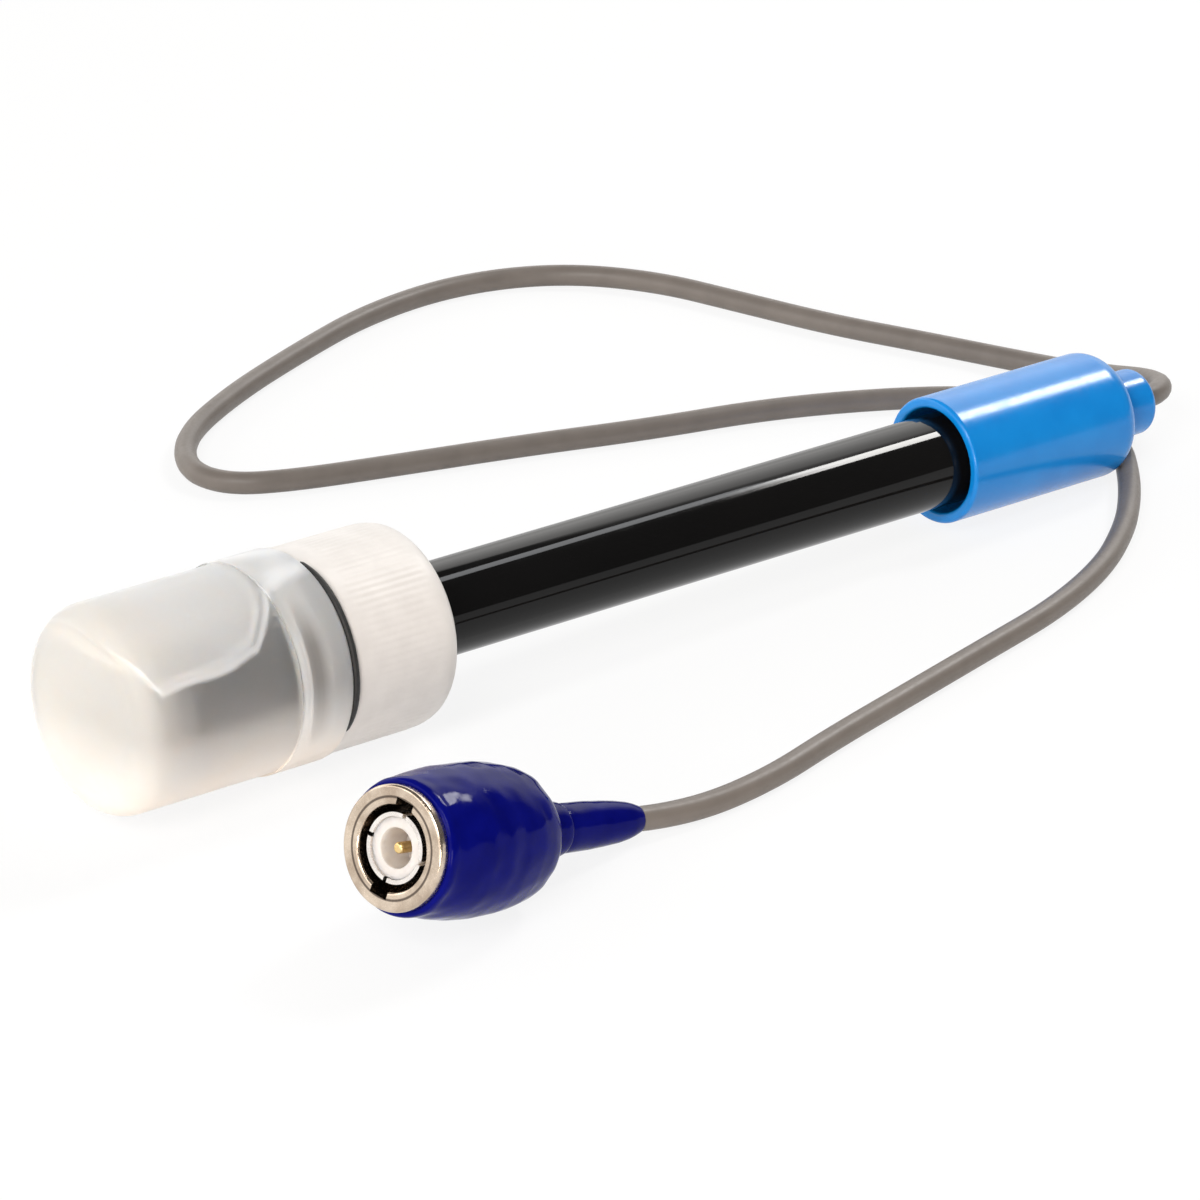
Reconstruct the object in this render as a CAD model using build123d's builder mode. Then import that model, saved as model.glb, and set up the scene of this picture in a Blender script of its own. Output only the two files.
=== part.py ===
from build123d import *

import os
from math import asin, atan, cos, hypot, pi, radians, sin, sqrt, tan

os.makedirs("parts", exist_ok=True)

# A pH electrode with its storage bottle, lying on a bench. +X runs from the bottle to the cable,
# +Z is up and the bench is at z = 0. The origin is on the bench, below the middle of the probe.
# Lengths are in millimetres. Along the probe, stations count from the open tip of the shaft.
# Along the plug, they count from the front face of its coupling nut.

# General clearances
glue_gap = 0.04
seat_gap = 0.05
slide_gap = 0.1
touch_gap = 0.02

# Shaft: epoxy tube with a slotted guard round the glass bulb
shaft_radius = 6.0
shaft_wall = 1.4
probe_length = 126.0
guard_slot_width = 3.6
guard_slot_depth = 8.0
guard_edge = 0.6

# Inner parts of the probe
reference_space = 1.6
stem_wall = 0.5
stem_in_head = 4.0
bulb_step = 0.6
bulb_recess = 2.0
wire_radius = 0.3
wire_in_bulb = 2.4
reference_wire_start = 20.0
seal_start = 9.2
seal_length = 5.0
frit_radius = 0.5
frit_inset = 0.2
stopper_depth = 5.0
stopper_flange = 1.0
potting_length = 6.5
potting_inset = 1.5

# Head cap with its cable nub, moulded in one piece
mouth_gap = 0.95
mouth_wall = 1.4
head_length = 30.0
head_edge = 3.0
mouth_edge = 0.5
mouth_depth = 6.0
socket_depth = 10.0
socket_step = 0.8
head_end_wall = 3.0
nub_step = 0.2
nub_length = 6.5
nub_edge = 1.0
nub_root_fillet = 0.8

# Storage bottle, from the ring that grips the shaft out to the neck, the screw cap and the vial
ring_section = 1.3
ring_land = 0.15
neck_land = 0.35
neck_wall = 1.4
neck_length = 12.0
thread_gap = 0.35
cap_wall = 1.95
cap_length = 16.2
cap_edge = 1.5
cap_hole_gap = 0.4
knurl_count = 90
knurl_depth = 0.32
gasket_thickness = 0.6
gasket_inset = 0.5
mouth_station = 21.4
vial_step = 0.1
vial_base_gap = 8.5
vial_base_edge = 3.5
vial_wall = 1.3
vial_floor = 1.6
collar_step = 0.25
collar_length = 7.5
collar_edge = 0.4

# Cable and its stripped end in the head
cable_radius = 1.5
cable_gap = 0.1
core_radius = 0.75
lead_radius = 0.35
lead_gap = 0.08
lead_turn = 1.2
core_gap = 3.0
cable_in_nub = 3.9
cable_lead = 4.4

# Bayonet plug, from the contact sleeve out to the nut
contact_radius = 4.1
contact_wall = 0.5
contact_front = 0.5
contact_slit = 0.5
contact_slit_length = 6.0
contact_slit_angle = 9.0
bayonet_space = 0.85
nut_wall = 2.05
nut_rim_step = 0.25
nut_rim_length = 1.2
nut_length = 14.2
nut_edge = 0.35
bayonet_depth = 0.85
bayonet_width = 2.5
bayonet_entry = 5.8
bayonet_ramp_start = 3.6
bayonet_turn = 80.0
bayonet_angle = 8.0
chamber_wall = 0.75
groove_wall = 0.35
groove_width = 0.9
nut_lip_wall = 1.0
nut_lip_length = 0.7
flange_inset = 4.6
flange_gap = 0.25
flange_thickness = 1.2
chamber_lead = 1.2
body_step = 0.5
body_reach = 3.3
stub_radius = 2.0
stub_length = 4.5
core_bore = 1.3
plug_gasket_inset = 0.3
plug_gasket_thickness = 0.8
gasket_seat_step = 0.2
gasket_seat_land = 0.1
washer_thickness = 0.25
slip_ring_bore_gap = 0.2
insulator_front = 0.8
insulator_wall = 1.25
insulator_recess = 4.5
insulator_reach = 2.4
pin_radius = 0.675
pin_front = 1.0
pin_barrel_radius = 0.85
pin_shoulder_land = 0.05
pin_reach = 4.0
plug_core_radius = 0.45
ferrule_radius = 2.5
ferrule_reach = 9.5
cable_in_ferrule = 2.0

# Rubber grip on the nut and the strain relief behind it
grip_front = 1.25
grip_front_wall = 0.8
grip_crown = 11.0
grip_crown_wall = 2.05
grip_reach = 5.8
grip_shoulder_wall = 1.15
grip_bulge_reach = 1.8
grip_bulge_wall = 0.05
grip_rear_reach = 2.6
grip_rear_inset = 1.9
grip_hole_gap = 0.6
grip_rear_wall = 1.4
grip_chamber_wall = 0.6
relief_gap = 0.8
relief_step = 0.45
relief_waist_step = 0.15
relief_tail_step = 0.3
relief_tip_wall = 0.35
relief_rim = 1.0
relief_reach = 7.6
plug_lead = 9.5

# Lie of the plug on the bench
plug_place = (-78.5, -49.3)
plug_heading = 9.7
plug_tilt = 16.3

# Worked out across the probe
shaft_bore = shaft_radius - shaft_wall
stem_radius = shaft_bore - reference_space
bulb_radius = stem_radius + bulb_step
reference_offset = (stem_radius + shaft_bore) / 2
mouth_radius = shaft_radius + mouth_gap
head_radius = mouth_radius + mouth_wall
cavity_radius = shaft_radius - socket_step
nub_radius = shaft_bore - nub_step
ring_offset = shaft_radius + slide_gap + ring_section
ring_pocket = ring_offset + ring_section + seat_gap
neck_bore = ring_pocket + neck_land
neck_radius = neck_bore + neck_wall
cap_bore = neck_radius + thread_gap
cap_radius = cap_bore + cap_wall
gasket_radius = cap_radius - gasket_inset
vial_radius = cap_radius + vial_step
vial_bore = vial_radius - vial_wall
collar_radius = vial_radius + collar_step
lead_offset = core_radius + lead_radius + lead_gap

# Worked out along the probe
head_rear = probe_length + head_length
socket_start = probe_length + mouth_depth
socket_end = socket_start + socket_depth
shaft_end = socket_end - seat_gap
stem_end = probe_length + stem_in_head
potting_start = socket_end - potting_inset - potting_length
nub_end = head_rear + nub_length
core_start = socket_end + core_gap
cable_start = nub_end - cable_in_nub
gasket_front = mouth_station + touch_gap
gasket_rear = gasket_front + gasket_thickness
cap_front = gasket_rear + touch_gap
cap_rear = cap_front + cap_length
neck_end = mouth_station + neck_length
ring_station = neck_end + ring_land + ring_section

# Worked out across the plug
nut_bore = contact_radius + bayonet_space
nut_radius = nut_bore + nut_wall
nut_rim_radius = nut_radius + nut_rim_step
chamber_radius = nut_radius - chamber_wall
groove_radius = nut_radius - groove_wall
nut_lip_radius = nut_radius - nut_lip_wall
flange_radius = chamber_radius - flange_gap
plug_gasket_radius = flange_radius - plug_gasket_inset
gasket_seat_radius = contact_radius + gasket_seat_step
contact_bore = contact_radius - contact_wall
body_radius = contact_radius + body_step
insulator_bore = contact_bore - insulator_wall
grip_front_radius = nut_radius + grip_front_wall
grip_crown_radius = nut_radius + grip_crown_wall
grip_shoulder_radius = nut_radius + grip_shoulder_wall
grip_bulge_radius = nut_radius + grip_bulge_wall
grip_rear_radius = nut_radius - grip_rear_inset
grip_chamber_radius = nut_radius - grip_chamber_wall
grip_hole = ferrule_radius + grip_hole_gap
relief_radius = ferrule_radius + relief_step
relief_waist = relief_radius - relief_tail_step

# Worked out along the plug
flange_front = nut_length - flange_inset
flange_rear = flange_front + flange_thickness
gasket_seat = flange_front - plug_gasket_thickness - gasket_seat_land
chamber_start = flange_front - chamber_lead
groove_start = nut_length - nut_lip_length - groove_width
body_end = nut_length + body_reach
stub_end = body_end + stub_length
insulator_end = flange_front + insulator_reach
pin_end = insulator_end + pin_reach
ferrule_end = body_end + ferrule_reach
plug_cable_start = ferrule_end - cable_in_ferrule
grip_shoulder = nut_length + grip_reach
grip_bulge = grip_shoulder + grip_bulge_reach
grip_rear = grip_shoulder + grip_rear_reach
relief_front = grip_rear + relief_gap
plug_bend = ferrule_end + plug_lead

# Lean of the probe: the rear edge of the screw cap and the rear edge of the head cap both rest
# on the bench, each a rounded corner of its own radius and edge.
cap_corner = (cap_rear - cap_edge, cap_radius - cap_edge)
head_corner = (head_rear - head_edge, head_radius - head_edge)
corner_run = head_corner[0] - cap_corner[0]
corner_drop = cap_corner[1] - head_corner[1]
lean = asin((cap_edge - head_edge) / hypot(corner_run, corner_drop)) + atan(corner_drop / corner_run)
tip_height = cap_corner[0] * sin(lean) + cap_corner[1] * cos(lean) + cap_edge

# The origin is under the middle of the probe's length over all, from the vial's base edge to the
# upper edge of the nub.
lowest_x = (vial_base_edge - vial_base_gap) * cos(lean) - vial_base_edge
lowest_x -= (vial_radius - vial_base_edge) * sin(lean)
highest_x = (nub_end - nub_edge) * cos(lean) + (nub_radius - nub_edge) * sin(lean) + nub_edge
tip_x = -(lowest_x + highest_x) / 2

probe_plane = Plane(origin=(tip_x, 0, tip_height), x_dir=(cos(lean), 0, -sin(lean)), z_dir=(0, -1, 0))
probe_axis = Axis(probe_plane.origin, probe_plane.x_dir)


def probe_point(station, up=0.0):
    """Return the point at a station of the probe, raised square to its axis."""
    return probe_plane.from_local_coords(Vector(station, up, 0))


def plane_across(plane, station):
    """Return the plane square to the first axis of a lengthwise plane, at a station."""
    centre = plane.from_local_coords(Vector(station, 0, 0))
    return Plane(origin=centre, x_dir=plane.y_dir, z_dir=plane.x_dir)


def plane_turned(plane, angle):
    """Return a lengthwise plane turned about its own first axis."""
    return plane.rotated((angle, 0, 0))


def tube_profile(start, end, inner, outer):
    """Draw the half section of a plain tube, or of a rod where the inner radius is 0."""
    with Locations(((start + end) / 2, (inner + outer) / 2)):
        Rectangle(end - start, outer - inner)


def half_section(points):
    """Draw the half section of a turned piece from its corners, each a station and a radius."""
    Polygon(*points, align=None)


def round_edge(piece, plane, station, radius):
    """Find the round edge of a turned piece that lies nearest to a station and a radius."""
    circles = piece.edges().filter_by(GeomType.CIRCLE)
    return circles.sort_by(
        lambda edge: hypot(plane.to_local_coords(edge.arc_center).X - station, edge.radius - radius)
    )[0]


# Shaft tube: its front end is cut into four prongs that guard the bulb
with BuildPart() as shaft:
    with BuildSketch(probe_plane):
        tube_profile(0, shaft_end, shaft_bore, shaft_radius)
    revolve(axis=probe_axis)
    fillet(round_edge(shaft, probe_plane, 0, shaft_radius), guard_edge)
    slot_radius = guard_slot_width / 2
    slot_centre = guard_slot_depth - slot_radius
    for turn in (0, 90):
        with BuildSketch(plane_turned(probe_plane, turn)):
            with Locations((slot_centre / 2 - 1, 0)):
                Rectangle(slot_centre + 2, guard_slot_width)
            with Locations((slot_centre, 0)):
                Circle(slot_radius)
        extrude(amount=shaft_radius + 1, both=True, mode=Mode.SUBTRACT)
shaft.part.label = "shaft"
export_step(shaft.part, "parts/shaft.step")

# Glass stem with the pH bulb blown at its end, one hollow piece
bulb_centre = bulb_recess + bulb_radius
inner_stem = stem_radius - stem_wall
inner_bulb = bulb_radius - stem_wall
outer_neck = (bulb_centre + sqrt(bulb_radius**2 - stem_radius**2), stem_radius)
inner_neck = (bulb_centre + sqrt(inner_bulb**2 - inner_stem**2), inner_stem)
with BuildPart() as glass_stem:
    with BuildSketch(probe_plane):
        with BuildLine():
            ThreePointArc((bulb_recess, 0), (bulb_centre, bulb_radius), outer_neck)
            Polyline(outer_neck, (stem_end, stem_radius), (stem_end, inner_stem), inner_neck)
            ThreePointArc(inner_neck, (bulb_centre, inner_bulb), (bulb_recess + stem_wall, 0))
            Line((bulb_recess + stem_wall, 0), (bulb_recess, 0))
        make_face()
    revolve(axis=probe_axis)
glass_stem.part.label = "glass_stem"
export_step(glass_stem.part, "parts/glass_stem.step")

# Silver wire down the middle of the glass stem, from the bulb to the cable's core
with BuildPart() as measuring_wire:
    with BuildSketch(probe_plane):
        tube_profile(bulb_recess + stem_wall + wire_in_bulb, core_start, 0, wire_radius)
    revolve(axis=probe_axis)
measuring_wire.part.label = "measuring_wire"
export_step(measuring_wire.part, "parts/measuring_wire.step")

# Silver wire in the reference gel, between the glass stem and the shaft
with BuildPart() as reference_wire:
    with BuildSketch(plane_across(probe_plane, reference_wire_start)):
        with Locations((reference_offset, 0)):
            Circle(wire_radius)
    extrude(amount=socket_end - reference_wire_start)
reference_wire.part.label = "reference_wire"
export_step(reference_wire.part, "parts/reference_wire.step")

# Tip seal: a potted ring that holds the glass stem and the ceramic frit in the shaft
seal_end = seal_start + seal_length
frit_start = seal_start - frit_inset
with BuildPart() as tip_seal:
    with BuildSketch(probe_plane):
        tube_profile(seal_start, seal_end, stem_radius + glue_gap, shaft_bore - glue_gap)
    revolve(axis=probe_axis)
    with BuildSketch(plane_across(probe_plane, seal_start)):
        with Locations((reference_offset, 0)):
            Circle(frit_radius + glue_gap)
    extrude(amount=seal_length, mode=Mode.SUBTRACT)
tip_seal.part.label = "tip_seal"
export_step(tip_seal.part, "parts/tip_seal.step")

# Reference junction: a ceramic frit through the tip seal
with BuildPart() as reference_junction:
    with BuildSketch(plane_across(probe_plane, frit_start)):
        with Locations((reference_offset, 0)):
            Circle(frit_radius)
    extrude(amount=seal_length + 2 * frit_inset)
reference_junction.part.label = "reference_junction"
export_step(reference_junction.part, "parts/reference_junction.step")

# Stopper in the top of the glass stem
with BuildPart() as stem_stopper:
    with BuildSketch(probe_plane):
        wire_hole = wire_radius + glue_gap
        half_section([
            (stem_end - stopper_depth, wire_hole),
            (stem_end - stopper_depth, inner_stem - glue_gap),
            (stem_end, inner_stem - glue_gap),
            (stem_end, stem_radius),
            (stem_end + stopper_flange, stem_radius),
            (stem_end + stopper_flange, wire_hole),
        ])
    revolve(axis=probe_axis)
stem_stopper.part.label = "stem_stopper"
export_step(stem_stopper.part, "parts/stem_stopper.step")

# Potting plug that closes the shaft inside the head
with BuildPart() as potting_plug:
    with BuildSketch(probe_plane):
        tube_profile(potting_start, potting_start + potting_length, wire_hole, shaft_bore - glue_gap)
    revolve(axis=probe_axis)
    with BuildSketch(plane_across(probe_plane, potting_start)):
        with Locations((reference_offset, 0)):
            Circle(wire_hole)
    extrude(amount=potting_length, mode=Mode.SUBTRACT)
potting_plug.part.label = "potting_plug"
export_step(potting_plug.part, "parts/potting_plug.step")

# Head cap: an open mouth round the shaft, a socket that is glued to it, and the cable nub
cavity_end = head_rear - head_end_wall
cable_hole = cable_radius + cable_gap
with BuildPart() as head_cap:
    with BuildSketch(probe_plane):
        half_section([
            (probe_length, mouth_radius),
            (probe_length, head_radius),
            (head_rear, head_radius),
            (head_rear, nub_radius),
            (nub_end, nub_radius),
            (nub_end, cable_hole),
            (cavity_end, cable_hole),
            (cavity_end, cavity_radius),
            (socket_end, cavity_radius),
            (socket_end, shaft_radius + glue_gap),
            (socket_start, shaft_radius + glue_gap),
            (socket_start, mouth_radius),
        ])
    revolve(axis=probe_axis)
    fillet(round_edge(head_cap, probe_plane, head_rear, head_radius), head_edge)
    fillet(round_edge(head_cap, probe_plane, nub_end, nub_radius), nub_edge)
    fillet(round_edge(head_cap, probe_plane, head_rear, nub_radius), nub_root_fillet)
    fillet(round_edge(head_cap, probe_plane, probe_length, head_radius), mouth_edge)
    fillet(round_edge(head_cap, probe_plane, probe_length, mouth_radius), mouth_edge)
head_cap.part.label = "head_cap"
export_step(head_cap.part, "parts/head_cap.step")

# Stripped core of the cable, from its jacket to the measuring wire
with BuildPart() as cable_core:
    with BuildSketch(probe_plane):
        tube_profile(core_start, cable_start, 0, core_radius)
    revolve(axis=probe_axis)
cable_core.part.label = "cable_core"
export_step(cable_core.part, "parts/cable_core.step")

# Twisted shield of the cable, bent outwards to meet the reference wire
lead_bend = (cavity_end + core_start) / 2
with BuildPart() as shield_lead:
    with BuildLine(probe_plane) as lead_line:
        FilletPolyline(
            (socket_end, reference_offset),
            (core_start, reference_offset),
            (lead_bend, lead_offset),
            (cable_start, lead_offset),
            radius=lead_turn,
        )
    with BuildSketch(Plane(origin=lead_line.line @ 0, z_dir=lead_line.line % 0)):
        Circle(lead_radius)
    sweep()
shield_lead.part.label = "shield_lead"
export_step(shield_lead.part, "parts/shield_lead.step")

# Vial: rounded base, a collar near the mouth and a plain neck that screws into the cap
vial_base = -vial_base_gap
with BuildPart() as vial:
    with BuildSketch(probe_plane):
        half_section([
            (vial_base, 0),
            (vial_base, vial_radius),
            (mouth_station - collar_length, vial_radius),
            (mouth_station - collar_length, collar_radius),
            (mouth_station, collar_radius),
            (mouth_station, neck_radius),
            (neck_end, neck_radius),
            (neck_end, neck_bore),
            (mouth_station, neck_bore),
            (mouth_station - vial_bore + neck_bore, vial_bore),
            (vial_base + vial_floor, vial_bore),
            (vial_base + vial_floor, 0),
        ])
    revolve(axis=probe_axis)
    fillet(round_edge(vial, probe_plane, vial_base, vial_radius), vial_base_edge)
    fillet(round_edge(vial, probe_plane, vial_base + vial_floor, vial_bore), vial_base_edge - vial_wall)
    fillet(round_edge(vial, probe_plane, mouth_station, collar_radius), collar_edge)
vial.part.label = "vial"
export_step(vial.part, "parts/vial.step")

# Black gasket between the vial's collar and the screw cap
with BuildPart() as vial_gasket:
    with BuildSketch(probe_plane):
        tube_profile(gasket_front, gasket_rear, neck_radius + seat_gap, gasket_radius)
    revolve(axis=probe_axis)
vial_gasket.part.label = "vial_gasket"
export_step(vial_gasket.part, "parts/vial_gasket.step")

# Screw cap: a knurled blank, rounded at the back, bored for the neck, the ring and the shaft
knurl_step = 180 / knurl_count
pocket_end = ring_station + ring_section + ring_land
with BuildPart() as cap_envelope:
    with BuildSketch(probe_plane):
        tube_profile(cap_front, cap_rear, 0, cap_radius)
    revolve(axis=probe_axis)
    fillet(round_edge(cap_envelope, probe_plane, cap_rear, cap_radius), cap_edge)
with BuildPart() as screw_cap:
    with BuildSketch(plane_across(probe_plane, cap_front)):
        with BuildLine():
            Polyline(
                *[
                    Vector(cap_radius - knurl_depth * (point % 2), 0).rotate(Axis.Z, point * knurl_step)
                    for point in range(2 * knurl_count)
                ],
                close=True,
            )
        make_face()
    extrude(amount=cap_length)
    add(cap_envelope.part, mode=Mode.INTERSECT)
    with BuildSketch(probe_plane):
        half_section([
            (cap_front, 0),
            (cap_front, cap_bore),
            (neck_end + ring_land, cap_bore),
            (neck_end + ring_land, ring_pocket),
            (pocket_end, ring_pocket),
            (pocket_end, shaft_radius + cap_hole_gap),
            (cap_rear, shaft_radius + cap_hole_gap),
            (cap_rear, 0),
        ])
    revolve(axis=probe_axis, mode=Mode.SUBTRACT)
screw_cap.part.label = "screw_cap"
export_step(screw_cap.part, "parts/screw_cap.step")

# Sealing ring in the cap, which grips the shaft
with BuildPart() as seal_ring:
    with BuildSketch(probe_plane):
        with Locations((ring_station, ring_offset)):
            Circle(ring_section)
    revolve(axis=probe_axis)
seal_ring.part.label = "seal_ring"
export_step(seal_ring.part, "parts/seal_ring.step")


def lengthwise_plug_plane(height):
    """Return the plane that holds the plug's axis, for a nut face at a height above the bench."""
    turn = radians(plug_heading)
    tilt = radians(plug_tilt)
    return Plane(
        origin=(plug_place[0], plug_place[1], height),
        x_dir=(cos(tilt) * cos(turn), cos(tilt) * sin(turn), -sin(tilt)),
        z_dir=(sin(turn), -cos(turn), 0),
    )


def grip_solid(plane):
    """Make the barrel-shaped rubber grip, hollow behind the nut, on a lengthwise plane."""
    inner = nut_radius + seat_gap
    step = nut_length + slide_gap
    wall = grip_rear - grip_rear_wall
    with BuildPart() as solid:
        with BuildSketch(plane):
            with BuildLine():
                ThreePointArc(
                    (grip_front, grip_front_radius),
                    (grip_crown, grip_crown_radius),
                    (grip_shoulder, grip_shoulder_radius),
                )
                ThreePointArc(
                    (grip_shoulder, grip_shoulder_radius),
                    (grip_bulge, grip_bulge_radius),
                    (grip_rear, grip_rear_radius),
                )
                Polyline(
                    (grip_rear, grip_rear_radius),
                    (grip_rear, grip_hole),
                    (wall, grip_hole),
                    (wall, grip_rear_radius - grip_rear_wall / 2),
                    (grip_shoulder - 2 * grip_rear_wall, grip_chamber_radius),
                    (step, grip_chamber_radius),
                    (step, inner),
                    (grip_front, inner),
                    (grip_front, grip_front_radius),
                )
            make_face()
        revolve(axis=Axis(plane.origin, plane.x_dir))
    return solid.part


# The plug lies on the rear edge of its grip, which sets the height of the nut's face
plug_plane = lengthwise_plug_plane(-grip_solid(lengthwise_plug_plane(0)).bounding_box().min.Z)
plug_axis = Axis(plug_plane.origin, plug_plane.x_dir)


def plug_point(station):
    """Return the point on the plug's axis at a station."""
    return plug_plane.from_local_coords(Vector(station, 0, 0))


with BuildPart() as plug_grip:
    add(grip_solid(plug_plane))
plug_grip.part.label = "plug_grip"
export_step(plug_grip.part, "parts/plug_grip.step")

# Coupling nut: two bayonet slots in its bore, and a groove at the back for the slip ring
slot_reach = nut_bore + bayonet_depth
slot_root = contact_radius + slide_gap
with BuildPart() as coupling_nut:
    with BuildSketch(plug_plane):
        half_section([
            (0, nut_bore),
            (0, nut_rim_radius),
            (nut_rim_length, nut_rim_radius),
            (nut_rim_length, nut_radius),
            (nut_length, nut_radius),
            (nut_length, nut_lip_radius),
            (groove_start + groove_width, nut_lip_radius),
            (groove_start + groove_width, groove_radius),
            (groove_start, groove_radius),
            (groove_start, chamber_radius),
            (chamber_start, chamber_radius),
            (chamber_start, nut_bore),
        ])
    revolve(axis=plug_axis)
    fillet(round_edge(coupling_nut, plug_plane, 0, nut_rim_radius), nut_edge)
    fillet(round_edge(coupling_nut, plug_plane, 0, nut_bore), nut_edge)
    with BuildSketch(plane_across(plug_plane, 0)):
        with PolarLocations((slot_root + slot_reach) / 2, 2, start_angle=bayonet_angle):
            Rectangle(slot_reach - slot_root, bayonet_width)
    extrude(amount=bayonet_entry, mode=Mode.SUBTRACT)
    for turn in (bayonet_angle, bayonet_angle + 180):
        with BuildSketch(plane_turned(plug_plane, turn)):
            tube_profile(bayonet_ramp_start, bayonet_ramp_start + bayonet_width, slot_root, slot_reach)
        revolve(axis=plug_axis, revolution_arc=bayonet_turn, mode=Mode.SUBTRACT)
coupling_nut.part.label = "coupling_nut"
export_step(coupling_nut.part, "parts/coupling_nut.step")

# Slip ring that sits in the nut's groove and backs the spring washer
ring_play = seat_gap / 2
slip_front = groove_start + ring_play
with BuildPart() as slip_ring:
    with BuildSketch(plug_plane):
        tube_profile(
            slip_front,
            groove_start + groove_width - ring_play,
            body_radius + slip_ring_bore_gap,
            groove_radius - slide_gap,
        )
    revolve(axis=plug_axis)
slip_ring.part.label = "slip_ring"
export_step(slip_ring.part, "parts/slip_ring.step")

# Plug body: slit contact sleeve, flange and rear barrel with a stub for the ferrule
with BuildPart() as plug_body:
    with BuildSketch(plug_plane):
        half_section([
            (contact_front, contact_bore),
            (contact_front, contact_radius),
            (gasket_seat, contact_radius),
            (gasket_seat, gasket_seat_radius),
            (flange_front, gasket_seat_radius),
            (flange_front, flange_radius),
            (flange_rear, flange_radius),
            (flange_rear, body_radius),
            (body_end, body_radius),
            (body_end, stub_radius),
            (stub_end, stub_radius),
            (stub_end, core_bore),
            (insulator_end + seat_gap, core_bore),
            (insulator_end + seat_gap, contact_bore),
        ])
    revolve(axis=plug_axis)
    with BuildSketch(plane_across(plug_plane, contact_front)):
        Rectangle(2 * contact_radius + 1, contact_slit, rotation=contact_slit_angle)
        Rectangle(contact_slit, 2 * contact_radius + 1, rotation=contact_slit_angle)
    extrude(amount=contact_slit_length, mode=Mode.SUBTRACT)
plug_body.part.label = "plug_body"
export_step(plug_body.part, "parts/plug_body.step")

# Rubber gasket on the front of the flange
with BuildPart() as plug_gasket:
    with BuildSketch(plug_plane):
        tube_profile(
            flange_front - plug_gasket_thickness,
            flange_front,
            gasket_seat_radius + seat_gap,
            plug_gasket_radius,
        )
    revolve(axis=plug_axis)
plug_gasket.part.label = "plug_gasket"
export_step(plug_gasket.part, "parts/plug_gasket.step")

# Spring washer between the flange and the slip ring: a flat ring bent to an arc, whose middle
# bears on the flange and whose two ends bear on the slip ring
washer_inner = body_radius + slip_ring_bore_gap
washer_outer = chamber_radius - slide_gap
washer_front = flange_rear + seat_gap
washer_rear = slip_front - seat_gap
washer_rise = washer_rear - washer_front - washer_thickness
with BuildPart() as spring_washer:
    with BuildSketch(plug_plane):
        with BuildLine():
            ThreePointArc(
                (washer_front + washer_rise, -washer_outer),
                (washer_front, 0),
                (washer_front + washer_rise, washer_outer),
            )
            Line((washer_front + washer_rise, washer_outer), (washer_rear, washer_outer))
            ThreePointArc(
                (washer_rear, washer_outer), (washer_rear - washer_rise, 0), (washer_rear, -washer_outer)
            )
            Line((washer_rear, -washer_outer), (washer_front + washer_rise, -washer_outer))
        make_face()
    extrude(amount=washer_outer + 1, both=True)
    with BuildSketch(plane_across(plug_plane, washer_front - 1)):
        Circle(washer_outer)
        Circle(washer_inner, mode=Mode.SUBTRACT)
    extrude(amount=washer_rear - washer_front + 2, mode=Mode.INTERSECT)
spring_washer.part.label = "spring_washer"
export_step(spring_washer.part, "parts/spring_washer.step")

# White insulator with a recess round the centre pin
recess_end = insulator_front + insulator_recess
with BuildPart() as insulator:
    with BuildSketch(plug_plane):
        half_section([
            (insulator_front, insulator_bore),
            (insulator_front, contact_bore - glue_gap),
            (insulator_end, contact_bore - glue_gap),
            (insulator_end, pin_barrel_radius + glue_gap),
            (recess_end, pin_barrel_radius + glue_gap),
            (recess_end, insulator_bore),
        ])
    revolve(axis=plug_axis)
insulator.part.label = "insulator"
export_step(insulator.part, "parts/insulator.step")

# Gold centre pin with a rounded tip and a thicker barrel in the insulator
pin_shoulder = recess_end - pin_shoulder_land
with BuildPart() as centre_pin:
    with BuildSketch(plug_plane):
        half_section([
            (pin_front, 0),
            (pin_front, pin_radius),
            (pin_shoulder, pin_radius),
            (pin_shoulder, pin_barrel_radius),
            (pin_end, pin_barrel_radius),
            (pin_end, 0),
        ])
    revolve(axis=plug_axis)
    fillet(round_edge(centre_pin, plug_plane, pin_front, pin_radius), pin_radius / 2)
centre_pin.part.label = "centre_pin"
export_step(centre_pin.part, "parts/centre_pin.step")

# Stripped core of the cable, soldered to the pin
with BuildPart() as plug_core:
    with BuildSketch(plug_plane):
        tube_profile(pin_end, plug_cable_start, 0, plug_core_radius)
    revolve(axis=plug_axis)
plug_core.part.label = "plug_core"
export_step(plug_core.part, "parts/plug_core.step")

# Crimp ferrule, over the body's stub and the end of the cable
with BuildPart() as crimp_ferrule:
    with BuildSketch(plug_plane):
        half_section([
            (body_end + seat_gap, stub_radius + seat_gap),
            (body_end + seat_gap, ferrule_radius),
            (ferrule_end, ferrule_radius),
            (ferrule_end, cable_hole),
            (stub_end + seat_gap, cable_hole),
            (stub_end + seat_gap, stub_radius + seat_gap),
        ])
    revolve(axis=plug_axis)
crimp_ferrule.part.label = "crimp_ferrule"
export_step(crimp_ferrule.part, "parts/crimp_ferrule.step")

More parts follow.
